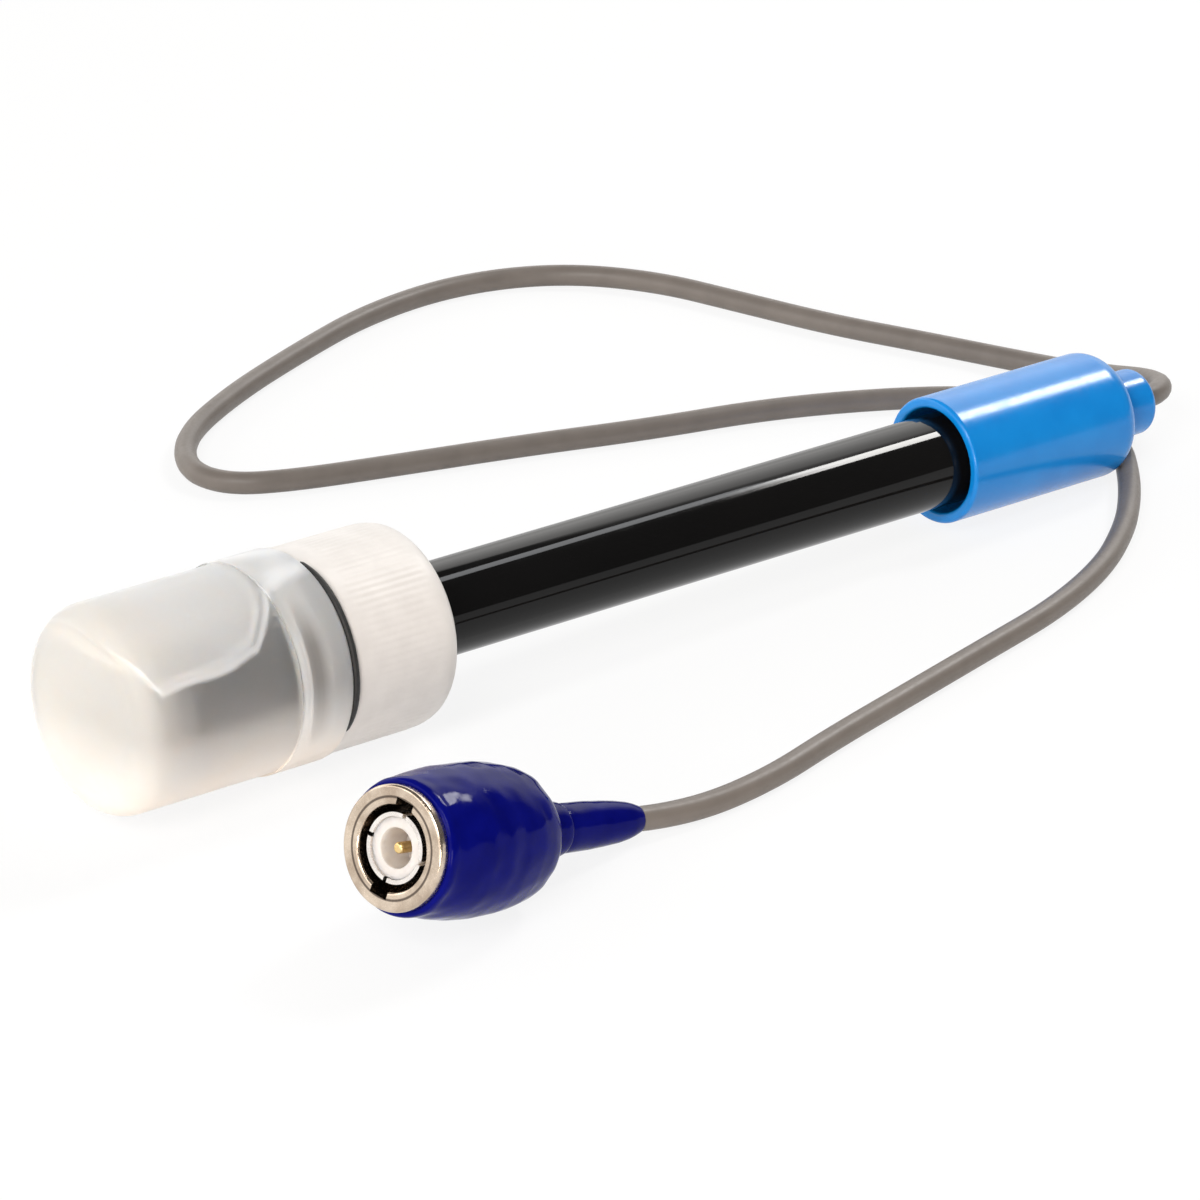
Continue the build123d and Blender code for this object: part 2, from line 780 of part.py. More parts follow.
# Route of the cable, from the ferrule over the bench to the nub. It lies on the bench, passes
# under the nub and comes back round a loop. Its points near the head count from the nub's end.
bench = cable_radius
nub_x = probe_point(nub_end).X
nub_z = probe_point(nub_end).Z
cable_route = [
    plug_point(plug_cable_start),
    plug_point(plug_bend),
    (-31.4, -45.6, bench),
    (-18.8, -45.1, bench),
    (-4.8, -41.4, bench),
    (10.5, -38.1, bench),
    (26.5, -34.6, bench),
    (41.4, -31.4, bench),
    (nub_x - 30.9, -26.5, bench),
    (nub_x - 19.9, -19.0, bench),
    (nub_x - 10.9, -11.2, bench),
    (nub_x - 4.3, -3.4, bench),
    (nub_x + 1.5, 6.0, bench),
    (nub_x + 2.1, 17.0, bench),
    (nub_x - 4.1, 26.6, bench),
    (nub_x - 14.5, 34.2, bench),
    (57.0, 41.6, bench),
    (41.0, 46.6, bench),
    (24.0, 53.0, bench),
    (8.0, 58.4, bench),
    (-6.0, 63.0, bench),
    (-14.0, 67.2, bench),
    (-15.4, 76.0, bench),
    (-7.2, 85.6, bench),
    (6.0, 93.0, bench),
    (21.5, 99.2, bench),
    (38.0, 104.0, bench),
    (54.5, 104.5, bench),
    (68.2, 99.2, bench),
    (76.6, 87.6, bench),
    (80.4, 73.4, bench),
    (nub_x - 1.3, 58.8, bench),
    (nub_x + 3.5, 45.4, bench),
    (nub_x + 6.6, 34.2, 0.26 * nub_z),
    (nub_x + 8.7, 23.6, 0.46 * nub_z),
    (nub_x + 10.1, 13.8, 0.72 * nub_z),
    (nub_x + 9.9, 5.4, 0.94 * nub_z),
    probe_point(nub_end + cable_lead),
    probe_point(cable_start),
]


def corner_radii(points):
    """Return the radius of each corner of a route: 0.45 of the shorter run, over tan(half turn)."""
    radii = []
    places = [Vector(point) for point in points]
    for before, corner, after in zip(places, places[1:], places[2:]):
        half_turn = radians((corner - before).get_angle(after - corner)) / 2
        shorter = min((corner - before).length, (after - corner).length)
        radii.append(0.45 * shorter / tan(half_turn))
    return radii


cable_radii = corner_radii(cable_route)
with BuildPart() as cable:
    with BuildLine():
        cable_path = FilletPolyline(*cable_route, radius=cable_radii)
    with BuildSketch(Plane(origin=cable_path @ 0, z_dir=cable_path % 0)):
        Circle(cable_radius)
    sweep()
cable.part.label = "cable"
export_step(cable.part, "parts/cable.step")

# Strain relief: a tapered sleeve over the ferrule that bends with the cable
relief_bend = Vector(cable_route[1])
relief_tip_radius = cable_radius + relief_tip_wall
relief_tip = relief_bend + (Vector(cable_route[2]) - relief_bend).normalized() * relief_reach
with BuildPart() as strain_relief:
    with BuildLine():
        relief_path = FilletPolyline(
            plug_point(relief_front), relief_bend, relief_tip, radius=cable_radii[0]
        )
    relief_length = relief_path.length
    for distance, radius in (
        (0, relief_radius),
        (0.35 * relief_length, relief_waist),
        (0.8 * relief_length, relief_waist - relief_waist_step),
        (relief_length - relief_rim, relief_tip_radius + relief_tip_wall),
        (relief_length, relief_tip_radius),
    ):
        place = distance / relief_length
        with BuildSketch(Plane(origin=relief_path @ place, z_dir=relief_path % place)):
            Circle(radius)
    loft()
    with BuildSketch(Plane(origin=relief_path @ 0, z_dir=relief_path % 0)):
        Circle(cable_hole)
    sweep(path=relief_path, mode=Mode.SUBTRACT)
    with BuildSketch(plane_across(plug_plane, relief_front)):
        Circle(ferrule_radius + seat_gap)
    extrude(amount=ferrule_end + seat_gap - relief_front, mode=Mode.SUBTRACT)
strain_relief.part.label = "strain_relief"
export_step(strain_relief.part, "parts/strain_relief.step")

print("cable corner radii", [round(radius, 1) for radius in cable_radii])
print("cable length", round(cable_path.length, 1))
print("cable volume", round(cable.part.volume, 1))
print("cable section times length", round(pi * cable_radius**2 * cable_path.length, 1))
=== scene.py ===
"""Dresses a pH electrode with its bottle, head, cable and bayonet plug, lying on a white bench."""

import math

import bpy
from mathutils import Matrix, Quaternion, Vector, noise


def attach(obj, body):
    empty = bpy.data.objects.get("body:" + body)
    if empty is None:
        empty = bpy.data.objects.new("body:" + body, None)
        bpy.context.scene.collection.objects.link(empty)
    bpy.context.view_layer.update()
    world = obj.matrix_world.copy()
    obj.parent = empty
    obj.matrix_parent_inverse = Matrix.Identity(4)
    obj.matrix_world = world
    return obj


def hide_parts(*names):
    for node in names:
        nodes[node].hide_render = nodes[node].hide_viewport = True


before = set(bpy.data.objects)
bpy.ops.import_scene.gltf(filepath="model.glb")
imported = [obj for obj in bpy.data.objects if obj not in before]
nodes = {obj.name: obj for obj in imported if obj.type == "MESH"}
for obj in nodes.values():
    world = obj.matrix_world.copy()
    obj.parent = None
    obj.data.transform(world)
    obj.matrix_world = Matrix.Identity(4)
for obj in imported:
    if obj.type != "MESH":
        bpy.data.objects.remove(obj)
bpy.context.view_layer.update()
scene = bpy.context.scene
scene.view_settings.view_transform = "Standard"

MM = 0.001
UP = Vector((0, 0, 1))

# The probe's axis, from the tip of the shaft, and the plug's axis, from the face of its nut.
# Stations are millimetres along one of these axes.
PROBE_TIP = Vector((-76.8280, 0.0, 14.1966)) * MM
PROBE_ALONG = Vector((0.999269, 0.0, -0.038239))
PLUG_FACE = Vector((-78.5, -49.3, 13.4404)) * MM
PLUG_ALONG = Vector((0.946083, 0.161717, -0.280666))


def plug_point(station):
    """Return the point on the plug's axis at a station in millimetres."""
    return PLUG_FACE + PLUG_ALONG * station * MM


# Camera

camera_data = bpy.data.cameras.new("camera")
camera_data.sensor_width = 36
camera_data.lens = 195.2
camera_data.clip_start = 0.01
camera_data.clip_end = 20
camera = bpy.data.objects.new("camera", camera_data)
scene.collection.objects.link(camera)
camera.location = (-0.47791, -0.56644, 0.33570)
camera_target = Vector((-0.0094, -0.0031, 0.0080))
camera_roll = math.radians(-0.554)
aim = (camera_target - camera.location).to_track_quat("-Z", "Y")
camera.rotation_euler = (aim @ Quaternion((0, 0, 1), camera_roll)).to_euler()
scene.camera = camera


# Cable

CABLE_DIAMETER = 3.0 * MM
CURVE_STEPS = 10
LYING = 1.5

# Millimetres, from inside the plug's tail to inside the head's nub. LYING is the height of the
# cable's middle where it rests on the bench.
CABLE_ROUTE = [
    (-54.85, -45.26, 6.42),
    (-43.97, -43.40, 3.20),
    (-31.4, -45.6, LYING),
    (-18.8, -45.1, LYING),
    (-4.8, -41.4, LYING),
    (10.5, -38.1, LYING),
    (26.5, -34.6, LYING),
    (41.4, -31.4, LYING),
    (54.9, -26.0, LYING),
    (65.2, -19.1, LYING),
    (71.9, -13.2, LYING),
    (77.9, -6.9, LYING),
    (83.6, 0.2, LYING),
    (87.2, 8.8, LYING),
    (86.6, 18.0, LYING),
    (80.9, 26.8, LYING),
    (71.05, 34.2, LYING),
    (57.0, 41.6, LYING),
    (41.0, 46.6, LYING),
    (24.2, 53.4, LYING),
    (8.2, 59.0, LYING),
    (-5.4, 63.9, LYING),
    (-13.2, 68.6, LYING),
    (-14.2, 76.3, LYING),
    (-7.4, 85.6, LYING),
    (6.0, 93.0, LYING),
    (21.5, 99.0, LYING),
    (38.0, 104.4, LYING),
    (54.5, 105.1, LYING),
    (68.2, 99.2, LYING),
    (76.6, 87.6, LYING),
    (80.4, 73.4, LYING),
    (84.25, 58.8, LYING),
    (89.7, 45.0, LYING),
    (93.6, 33.6, 1.6),
    (95.9, 23.4, 2.3),
    (96.3, 15.2, 3.9),
    (95.7, 9.4, 5.5),
    (94.4, 4.9, 6.65),
    (92.3, 1.8, 7.4),
    (89.0, 0.0, 7.8),
    (85.0, 0.0, 8.0),
    (81.66, 0.0, 8.13),
]


def add_cable():
    """Lay the cable along its route as one smooth spline."""
    curve = bpy.data.curves.new("cable_jacket", "CURVE")
    curve.dimensions = "3D"
    spline = curve.splines.new("NURBS")
    spline.points.add(len(CABLE_ROUTE) - 1)
    for point, place in zip(spline.points, CABLE_ROUTE):
        point.co = (*(part * MM for part in place), 1)
    spline.order_u = 3
    spline.use_endpoint_u = True
    spline.resolution_u = CURVE_STEPS
    curve.bevel_depth = CABLE_DIAMETER / 2
    curve.bevel_resolution = 6
    curve.use_fill_caps = True
    cable = bpy.data.objects.new("cable_jacket", curve)
    scene.collection.objects.link(cable)
    return cable


cable = add_cable()


def cable_centreline():
    """Return the points of the cable's spline, from the plug on."""
    bare = cable.copy()
    bare.data = cable.data.copy()
    bare.data.bevel_depth = 0
    bare.data.use_fill_caps = False
    mesh = bpy.data.meshes.new_from_object(bare)
    points = [vertex.co.copy() for vertex in mesh.vertices]
    bpy.data.meshes.remove(mesh)
    bpy.data.curves.remove(bare.data)
    return points


# Shape helpers


def smooth_step(low, high, value):
    """Return 0 below low, 1 above high and a smooth rise between them."""
    t = min(max((value - low) / (high - low), 0), 1)
    return t * t * (3 - 2 * t)


def rounded_line(points, corners, steps=4):
    """Return a line of (station, radius) points with the listed corners rounded by their radii."""
    line = []
    for index, point in enumerate(points):
        radius = corners.get(index, 0)
        if radius == 0:
            line.append(point)
            continue
        corner = Vector(point)
        before = Vector(points[index - 1]) - corner
        after = Vector(points[index + 1]) - corner
        start = corner + before.normalized() * radius
        end = corner + after.normalized() * radius
        for step in range(steps + 1):
            t = step / steps
            spot = start * (1 - t) ** 2 + corner * 2 * t * (1 - t) + end * t ** 2
            line.append((spot.x, spot.y))
    return line


def divided(line, longest):
    """Return the line with its long runs divided into steps no longer than the given length."""
    fine = [line[0]]
    for start, end in zip(line, line[1:]):
        run = math.dist(start, end)
        parts = max(1, math.ceil(run / longest))
        for part in range(1, parts + 1):
            t = part / parts
            fine.append((start[0] + (end[0] - start[0]) * t, start[1] + (end[1] - start[1]) * t))
    return fine


def frame_across(along):
    """Return the level direction across an axis, and the one square to both."""
    across = along.cross(UP).normalized()
    return across, across.cross(along)


def spoke(across, above, angle):
    """Return the direction at an angle from the first of two directions to the second."""
    return across * math.cos(angle) + above * math.sin(angle)


def ring_faces(rings, sides, closed=False):
    """Return the faces between rings of points; closed joins the last ring to the first."""
    faces = []
    for ring in range(rings if closed else rings - 1):
        following = (ring + 1) % rings
        for side in range(sides):
            beside = (side + 1) % sides
            faces.append((
                ring * sides + side,
                following * sides + side,
                following * sides + beside,
                ring * sides + beside,
            ))
    return faces


def add_mesh(name, points, faces):
    """Make a smooth-shaded mesh object from points in metres."""
    mesh = bpy.data.meshes.new(name)
    mesh.from_pydata(points, [], faces)
    mesh.polygons.foreach_set("use_smooth", [True] * len(mesh.polygons))
    mesh.update()
    piece = bpy.data.objects.new(name, mesh)
    scene.collection.objects.link(piece)
    return piece


def turned_piece(name, origin, along, profile, sides, push):
    """Turn a closed profile of (station, radius) points about an axis.

    push gives how far a point moves outwards, from its station, radius and angle."""
    across, above = frame_across(along)
    points = []
    for station, radius in profile:
        for side in range(sides):
            angle = 2 * math.pi * side / sides
            reach = radius + push(station, radius, angle)
            points.append(origin + (along * station + spoke(across, above, angle) * reach) * MM)
    return add_mesh(name, points, ring_faces(len(profile), sides, closed=True))


# Rubber grip on the nut

GRIP_OUTSIDE = [
    (1.25, 7.04),
    (1.25, 7.75),
    (1.9, 8.05),
    (5.0, 8.55),
    (8.0, 8.92),
    (11.0, 9.05),
    (14.0, 8.98),
    (17.0, 8.66),
    (19.4, 8.22),
    (20.9, 7.72),
    (21.9, 6.9),
    (22.45, 5.7),
    (22.6, 4.6),
    (22.6, 3.1),
]
GRIP_CORNERS = {1: 0.35, 3: 0.9, 8: 0.6, 9: 0.6}
GRIP_INSIDE = [(21.2, 3.1), (21.2, 6.4), (14.3, 6.4), (14.3, 7.04)]
GRIP_SIDES = 144
FRONT_BORE = 7.2
FRONT_BORE_END = 20
REAR_HOLE = 4.2


def grip_push(station, radius, angle):
    """Sink soft wrinkles into the outside of the dipped rubber, and leave its bores round."""
    in_front_bore = radius < FRONT_BORE and station < FRONT_BORE_END
    in_rear_hole = radius < REAR_HOLE
    if in_front_bore or in_rear_hole:
        return 0
    across = Vector((math.cos(angle), math.sin(angle), 0))
    lumps = noise.noise(across * 1.7 + Vector((0, 0, station * 0.11)))
    bends = noise.noise(across * 0.9 + Vector((5, 2, station * 0.07)))
    ripple = noise.noise(across * 3.4 + Vector((3 + bends, 9, station * 0.3 + 2 * bends)))
    grain = noise.noise(across * 9 + Vector((7, 1, station * 0.9)))
    depth = 0.16 * (0.5 - lumps) + 0.14 * (0.5 - ripple) + 0.02 * grain
    return -max(depth, 0) * smooth_step(1.2, 3.0, station)


def add_grip():
    """Make the grip as a turned shell with a wrinkled outside."""
    outside = divided(rounded_line(GRIP_OUTSIDE, GRIP_CORNERS), 0.45)
    profile = outside + divided(GRIP_INSIDE, 2.0)
    return turned_piece("rubber_grip", PLUG_FACE, PLUG_ALONG, profile, GRIP_SIDES, grip_push)


grip = add_grip()


# Strain relief, a tapered sleeve that follows the cable out of the grip

RELIEF_START = 23.45
RELIEF_SIDES = 40
RELIEF_DENTS = (6.4, 17.6)

# The line that the relief follows: stations on the plug's axis, then the cable's own points that
# lie farther than CABLE_FROM from the plug's face
PLUG_STATIONS = (20.0, 21.5, 23.0, 24.5, 26.0)
CABLE_FROM = 27.5
CABLE_POINTS = 120

# Stations from the relief's start, and radii
RELIEF_PROFILE = [
    (0.0, 1.7),
    (0.0, 3.0),
    (0.2, 3.2),
    (0.5, 3.25),
    (5.0, 3.25),
    (5.25, 3.18),
    (5.4, 2.95),
    (5.5, 2.84),
    (5.7, 2.86),
    (6.3, 2.95),
    (10.5, 2.88),
    (13.0, 2.72),
    (15.2, 2.5),
    (16.8, 2.22),
    (17.8, 1.95),
    (18.4, 1.7),
    (18.7, 1.57),
    (18.75, 1.5),
]


def line_with_lengths(points):
    """Return the points with the length of the line up to each."""
    measured = [(0.0, points[0])]
    for before, after in zip(points, points[1:]):
        measured.append((measured[-1][0] + (after - before).length, after))
    return measured


def place_on_line(measured, length):
    """Return the point and the direction of a measured line at a length along it."""
    for (low, before), (high, after) in zip(measured, measured[1:]):
        if length <= high:
            t = (length - low) / (high - low)
            return before.lerp(after, t), (after - before).normalized()
    before, after = measured[-2][1], measured[-1][1]
    return after, (after - before).normalized()


def relief_push(station, angle):
    """Return the soft dents of the relief's rubber, past its band and before its tip."""
    if station < RELIEF_DENTS[0] or station > RELIEF_DENTS[1]:
        return 0
    across = Vector((math.cos(angle), math.sin(angle), 0))
    return 0.05 * noise.noise(across * 1.6 + Vector((2, 6, station * 0.35)))


def add_relief():
    """Sweep the relief's tapered profile along the cable's own line."""
    path = [plug_point(station) for station in PLUG_STATIONS]
    beyond = [point for point in cable_centreline() if (point - PLUG_FACE).length > CABLE_FROM * MM]
    measured = line_with_lengths(path + beyond[:CABLE_POINTS])
    start = (RELIEF_START - PLUG_STATIONS[0]) * MM
    profile = divided(RELIEF_PROFILE, 0.8)
    points = []
    for station, radius in profile:
        spot, along = place_on_line(measured, start + station * MM)
        across, above = frame_across(along)
        for side in range(RELIEF_SIDES):
            angle = 2 * math.pi * side / RELIEF_SIDES
            reach = (radius + relief_push(station, angle)) * MM
            points.append(spot + spoke(across, above, angle) * reach)
    return add_mesh("rubber_relief", points, ring_faces(len(profile), RELIEF_SIDES))


relief = add_relief()


# Screw cap with shallow ribs that fade at both ends, and the gasket between it and the bottle

CAP_RIBS = 90
SIDES_TO_A_RIB = 6
RIBS_START = (23.6, 26.0)
RIBS_END = (34.0, 36.6)
RIB_DEPTH = 0.065
CAP_WALL = 12.6
LIP_END = 22.1
LIP_DRAWN_IN = 0.7
CAP_OUTSIDE = [
    (21.48, 10.9),
    (21.48, 12.86),
    (21.62, 12.98),
    (22.0, 12.98),
    (22.3, 12.8),
    (24.2, 12.8),
    (25.4, 12.8),
    (34.6, 12.8),
    (36.2, 12.72),
    (37.2, 12.45),
    (37.9, 11.9),
    (38.24, 11.1),
    (38.24, 6.8),
    (38.0, 6.42),
    (36.4, 6.4),
]
CAP_CORNERS = {8: 0.4, 9: 0.3, 10: 0.3, 11: 0.4}
CAP_INSIDE = [(36.4, 8.75), (33.45, 8.75), (33.45, 10.87), (30.0, 10.87), (26.0, 10.87)]
GASKET_OUTLINE = [
    (21.42, 10.57),
    (21.42, 13.1),
    (21.5, 13.3),
    (21.75, 13.38),
    (22.06, 13.32),
    (22.18, 13.1),
    (22.18, 10.57),
]
GASKET_SIDES = 120
GASKET_EDGE = 12
GASKET_BULGE = 0.9
SQUEEZE_ANGLE = 0.45


def squeezed(angle):
    """Return 1 at the front, a little up, where the gasket bulges, and 0 at the other side."""
    return smooth_step(0.35, 0.95, math.cos(angle - SQUEEZE_ANGLE))


def cap_push(station, radius, angle):
    """Cut the cap's ribs, which fade at both ends, and draw its lip in where the gasket bulges."""
    if radius < CAP_WALL:
        return 0
    if station < LIP_END:
        return -LIP_DRAWN_IN * squeezed(angle)
    fade = smooth_step(*RIBS_START, station) * (1 - smooth_step(*RIBS_END, station))
    groove = 0.5 - 0.5 * math.cos(CAP_RIBS * angle)
    return -RIB_DEPTH * fade * groove ** 1.5


def gasket_push(station, radius, angle):
    """Draw the gasket's edge in where it doesn't bulge."""
    return (squeezed(angle) - 1) * GASKET_BULGE if radius > GASKET_EDGE else 0


def add_cap():
    """Turn the cap with a few sides to each rib."""
    profile = divided(rounded_line(CAP_OUTSIDE, CAP_CORNERS, 3), 1.2) + CAP_INSIDE
    sides = CAP_RIBS * SIDES_TO_A_RIB
    return turned_piece("ribbed_cap", PROBE_TIP, PROBE_ALONG, profile, sides, cap_push)


def add_gasket():
    """Turn the gasket with an uneven edge."""
    return turned_piece(
        "gasket_ring", PROBE_TIP, PROBE_ALONG, GASKET_OUTLINE, GASKET_SIDES, gasket_push,
    )


cap = add_cap()
gasket = add_gasket()


# Thread on the bottle's neck

THREAD_START = 23.4
THREAD_TURNS = 2.9
THREAD_PITCH = 3.0
THREAD_ROOT = 10.42
THREAD_CREST = 10.76
THREAD_SECTION = [
    (-0.85, THREAD_ROOT),
    (-0.3, THREAD_CREST),
    (0.3, THREAD_CREST),
    (0.85, THREAD_ROOT),
]
THREAD_RUN_OUT = 0.12
STEPS_A_TURN = 72


def add_thread():
    """Wind the neck's thread as a ridge whose ends run out into the neck."""
    across, above = frame_across(PROBE_ALONG)
    steps = int(THREAD_TURNS * STEPS_A_TURN)
    points = []
    for step in range(steps + 1):
        turn = step / STEPS_A_TURN
        left = THREAD_TURNS - turn
        rise = smooth_step(0, THREAD_RUN_OUT, turn) * smooth_step(0, THREAD_RUN_OUT, left)
        direction = spoke(across, above, 2 * math.pi * turn)
        for offset, radius in THREAD_SECTION:
            reach = THREAD_ROOT + (radius - THREAD_ROOT) * rise
            station = THREAD_START + THREAD_PITCH * turn + offset
            points.append(PROBE_TIP + (PROBE_ALONG * station + direction * reach) * MM)
    corners = len(THREAD_SECTION)
    sides = [(a, d, c, b) for a, b, c, d in ring_faces(steps + 1, corners)]
    first_end = tuple(range(corners))
    last_end = tuple(steps * corners + corner for corner in reversed(range(corners)))
    return add_mesh("bottle_thread", points, sides + [first_end, last_end])


thread = add_thread()


# Materials


def new_material(name):
    """Return a new material with its node tree and its main shader."""
    material = bpy.data.materials.new(name)
    material.use_nodes = True
    tree = material.node_tree
    return material, tree, tree.nodes["Principled BSDF"]


def feed(tree, socket, value):
    """Give a socket a value, or link it to another node's output."""
    if isinstance(value, bpy.types.NodeSocket):
        tree.links.new(value, socket)
    else:
        socket.default_value = value


def set_sockets(tree, shader, **sockets):
    """Feed a shader's sockets, whose names are given with underscores for their spaces."""
    for name, value in sockets.items():
        feed(tree, shader.inputs[name.replace("_", " ")], value)


def object_place(tree):
    """Return the place on the object in metres."""
    return tree.nodes.new("ShaderNodeTexCoord").outputs["Object"]


def split_axes(tree, place):
    """Return the outputs that give the X, Y and Z of a place or direction."""
    axes = tree.nodes.new("ShaderNodeSeparateXYZ")
    feed(tree, axes.inputs["Vector"], place)
    return axes.outputs


def add_noise(tree, scale, detail=2.0, stretch=(1, 1, 1)):
    """Return a noise texture that stays on the object, scale in cells per metre."""
    place = object_place(tree)
    mapping = tree.nodes.new("ShaderNodeMapping")
    feed(tree, mapping.inputs["Scale"], stretch)
    feed(tree, mapping.inputs["Vector"], place)
    texture = tree.nodes.new("ShaderNodeTexNoise")
    feed(tree, texture.inputs["Scale"], scale)
    feed(tree, texture.inputs["Detail"], detail)
    feed(tree, texture.inputs["Vector"], mapping.outputs["Vector"])
    return texture.outputs["Fac"]


# The part of a noise's spread in which most of its values lie
NOISE_LOW = 0.35
NOISE_HIGH = 0.65


def add_range(tree, value, start, end, low=NOISE_LOW, high=NOISE_HIGH):
    """Return start where the value is at low, end where it is at high, and a line between."""
    spread = tree.nodes.new("ShaderNodeMapRange")
    spread.inputs["From Min"].default_value = low
    spread.inputs["From Max"].default_value = high
    spread.inputs["To Min"].default_value = start
    spread.inputs["To Max"].default_value = end
    feed(tree, spread.inputs["Value"], value)
    return spread.outputs["Result"]


def add_value(tree, operation, *values):
    """Return the result of a maths node; a value is a number or another node's output."""
    maths = tree.nodes.new("ShaderNodeMath")
    maths.operation = operation
    for socket, value in zip(maths.inputs, values):
        feed(tree, socket, value)
    return maths.outputs["Value"]


def combined(tree, operation, first, *others):
    """Return several values taken together by one operation, such as their product."""
    for other in others:
        first = add_value(tree, operation, first, other)
    return first


def add_ramp(tree, length, start, end, low, high):
    """Return what add_range does, for a length in metres with low and high in millimetres."""
    return add_range(tree, length, start, end, low * MM, high * MM)


def add_near(tree, length, middle, within, beyond):
    """Return 1 within a distance of the middle and 0 beyond another, all in millimetres."""
    off = add_value(tree, "SUBTRACT", length, middle * MM)
    return add_ramp(tree, add_value(tree, "ABSOLUTE", off), 1, 0, within, beyond)


def add_vector(tree, operation, *values):
    """Return the outputs of a vector maths node; a value is a vector or another node's output."""
    maths = tree.nodes.new("ShaderNodeVectorMath")
    maths.operation = operation
    for socket, value in zip(maths.inputs, values):
        feed(tree, socket, value)
    return maths.outputs


def station_on(tree, place, start, along):
    """Return the station in metres of a place on an axis, and the way to it from the start."""
    way = add_vector(tree, "SUBTRACT", place, start)["Vector"]
    return add_vector(tree, "DOT_PRODUCT", way, along)["Value"], way


def add_colour_mix(tree, factor, first, second):
    """Return a mix of two colours; each is three numbers or another node's output."""
    mix = tree.nodes.new("ShaderNodeMix")
    mix.data_type = "RGBA"
    for socket, colour in (("A", first), ("B", second)):
        feed(tree, mix.inputs[socket], (*colour, 1) if isinstance(colour, tuple) else colour)
    feed(tree, mix.inputs["Factor"], factor)
    return mix.outputs["Result"]


def add_bump(tree, height, distance, strength, under=None):
    """Return a normal bumped by a height, distance in metres."""
    bump = tree.nodes.new("ShaderNodeBump")
    feed(tree, bump.inputs["Distance"], distance)
    feed(tree, bump.inputs["Strength"], strength)
    feed(tree, bump.inputs["Height"], height)
    if under:
        feed(tree, bump.inputs["Normal"], under)
    return bump.outputs["Normal"]


def moulded(name, colours, gloss, scale, dents, stretch=(1, 1, 1), **sockets):
    """Return a material whose colour, gloss and surface vary softly.

    colours and gloss are pairs, scale is in cells per metre and dents is a depth in metres."""
    material, tree, shader = new_material(name)
    broad = add_noise(tree, scale, 3, stretch)
    fine = add_noise(tree, scale * 9, 4, stretch)
    soft_bump = add_bump(tree, broad, dents * 4, 0.5)
    set_sockets(
        tree,
        shader,
        Base_Color=add_colour_mix(tree, add_range(tree, broad, 0, 1), *colours),
        Roughness=add_range(tree, fine, *gloss),
        Normal=add_bump(tree, fine, dents, 0.6, soft_bump),
        **sockets,
    )
    return material


black_epoxy = moulded(
    "black_epoxy", ((0.003, 0.0029, 0.003), (0.005, 0.0047, 0.0047)), (0.04, 0.08), 60, 0.000002,
    stretch=(0.3, 1, 1), Specular_IOR_Level=0.21,
)
blue_plastic = moulded(
    "blue_plastic", ((0.002, 0.235, 0.70), (0.004, 0.27, 0.76)), (0.18, 0.26), 160, 0.000002,
    Specular_IOR_Level=0.42,
)
white_plastic = moulded(
    "white_plastic", ((0.80, 0.765, 0.735), (0.85, 0.815, 0.785)), (0.38, 0.5), 300, 0.00001,
)
black_rubber = moulded(
    "black_rubber", ((0.012, 0.012, 0.012), (0.022, 0.021, 0.02)), (0.5, 0.7), 500, 0.00001,
)
navy_rubber = moulded(
    "blue_rubber", ((0.001, 0.002, 0.12), (0.002, 0.0035, 0.155)), (0.07, 0.15), 260, 0.000008,
    Specular_IOR_Level=0.06,
)
grey_jacket = moulded(
    "grey_jacket", ((0.182, 0.157, 0.138), (0.204, 0.177, 0.156)), (0.4, 0.5), 250, 0.000008,
)
nickel = moulded(
    "nickel", ((0.78, 0.73, 0.69), (0.9, 0.86, 0.82)), (0.16, 0.3), 380, 0.000005,
    Metallic=1,
)
# Dark bronze, darkened as painted shade for the slip ring deep inside the nut
bronze = moulded(
    "bronze", ((0.2, 0.12, 0.06), (0.3, 0.19, 0.1)), (0.3, 0.45), 500, 0.000004,
    Metallic=1,
)
spring_steel = moulded(
    "spring_steel", ((0.42, 0.41, 0.4), (0.52, 0.51, 0.5)), (0.2, 0.3), 500, 0.000004,
    Metallic=1,
)
gold = moulded(
    "gold", ((0.78, 0.54, 0.2), (0.86, 0.64, 0.3)), (0.18, 0.3), 900, 0.000003,
    Metallic=1,
)
silver = moulded(
    "silver", ((0.68, 0.66, 0.62), (0.78, 0.77, 0.74)), (0.25, 0.4), 900, 0.000003,
    Metallic=1,
)
copper = moulded(
    "copper", ((0.72, 0.34, 0.2), (0.82, 0.44, 0.28)), (0.25, 0.4), 900, 0.000003,
    Metallic=1,
)
fluoropolymer = moulded(
    "white_fluoropolymer", ((0.70, 0.645, 0.605), (0.76, 0.71, 0.675)), (0.36, 0.48), 600, 0.000008,
    Subsurface_Weight=1.0, Subsurface_Scale=0.003, Subsurface_Radius=(1, 0.95, 0.85),
)
ceramic = moulded(
    "ceramic", ((0.66, 0.62, 0.55), (0.78, 0.75, 0.7)), (0.7, 0.85), 3000, 0.00002,
)
potting = moulded(
    "potting", ((0.012, 0.012, 0.014), (0.03, 0.03, 0.032)), (0.3, 0.5), 400, 0.00002,
)
clear_glass = moulded(
    "clear_glass", ((0.93, 0.96, 0.94), (0.98, 0.99, 0.98)), (0.01, 0.04), 200, 0.000004,
    Transmission_Weight=1.0, IOR=1.49,
)


# The liquid's height in millimetres and its slant along X, and the station of the collar's rim
LIQUID_LEVEL = 26.0
LIQUID_RISE = 0.071
COLLAR_START = 14.3
MILKY = (0.975, 0.968, 0.955)
# MILKY_WARM is the tint of the painted light low down and over the base
MILKY_WARM = (0.995, 0.9, 0.81)
# COLLAR_SHADE is the colour of the painted shade on the collar
COLLAR_SHADE = (0.14, 0.14, 0.14)


